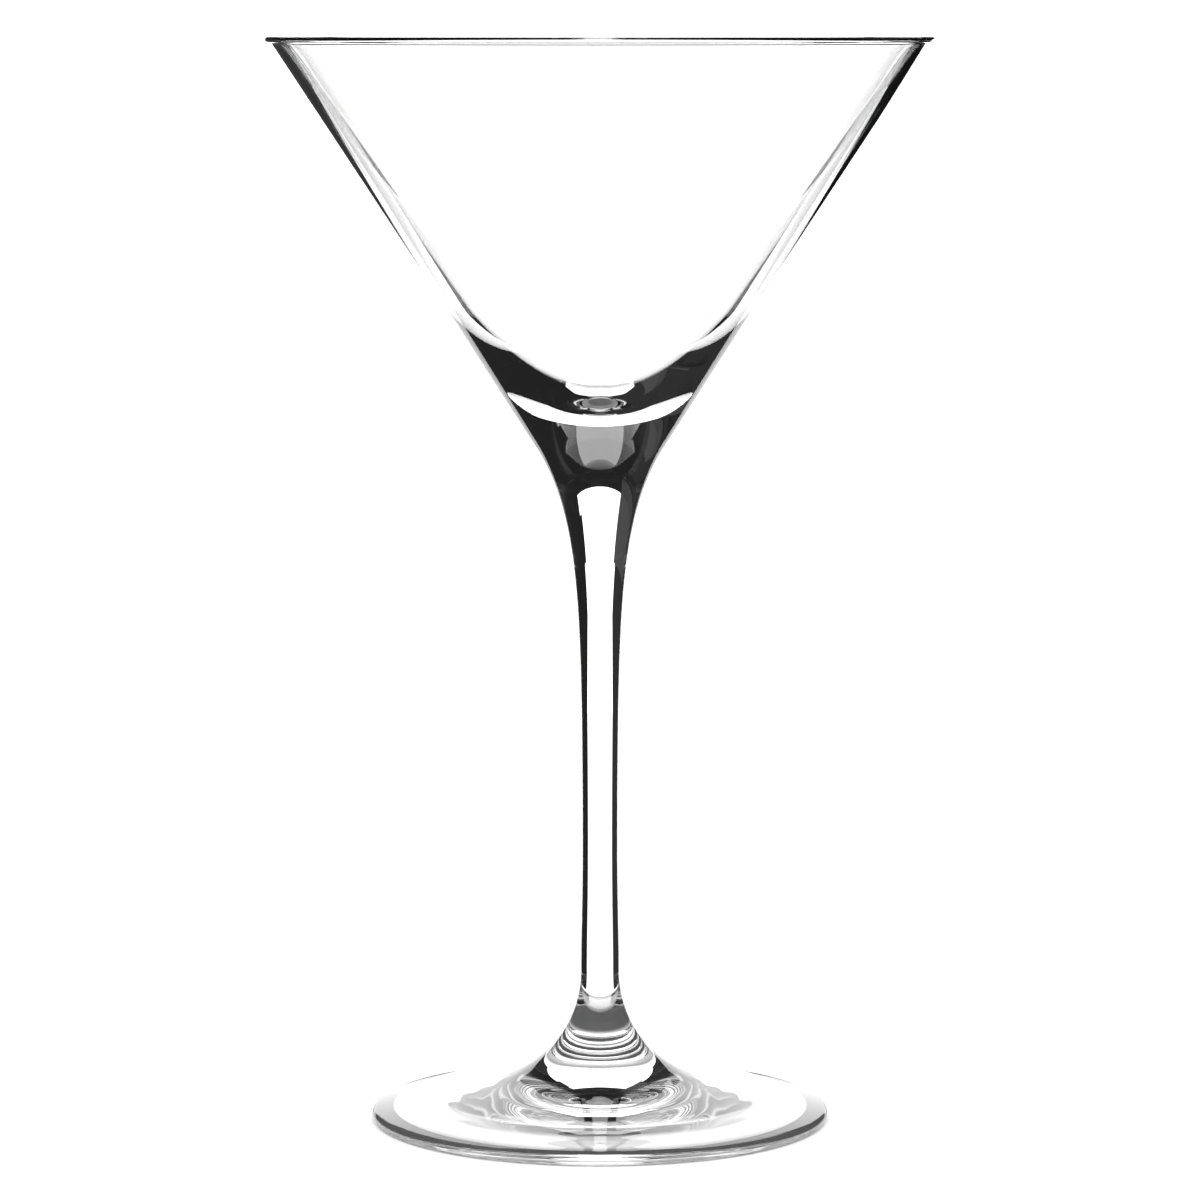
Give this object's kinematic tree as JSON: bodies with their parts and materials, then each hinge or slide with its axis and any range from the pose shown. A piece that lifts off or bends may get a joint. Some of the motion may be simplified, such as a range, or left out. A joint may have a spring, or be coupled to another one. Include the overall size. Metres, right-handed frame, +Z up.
{
  "type": "martini glass",
  "caption": "Clear martini glass: a wide straight-sided conical bowl with a thick rounded bottom, on a slender drawn stem and a shallow round foot.",
  "frame": {"origin": "on the glass's axis, in the plane that the foot rests on", "axes": "+Z up along the glass's axis, from the foot to the lip; the glass is round, so +X and +Y are free"},
  "size_m": [0.1094, 0.1094, 0.1797],
  "materials": {
    "clear_glass": "clear, colourless, fire-polished"
  },
  "bodies": {
    "root": {"bowl": "clear_glass", "stem": "clear_glass", "foot": "clear_glass"}
  },
  "joints": []
}
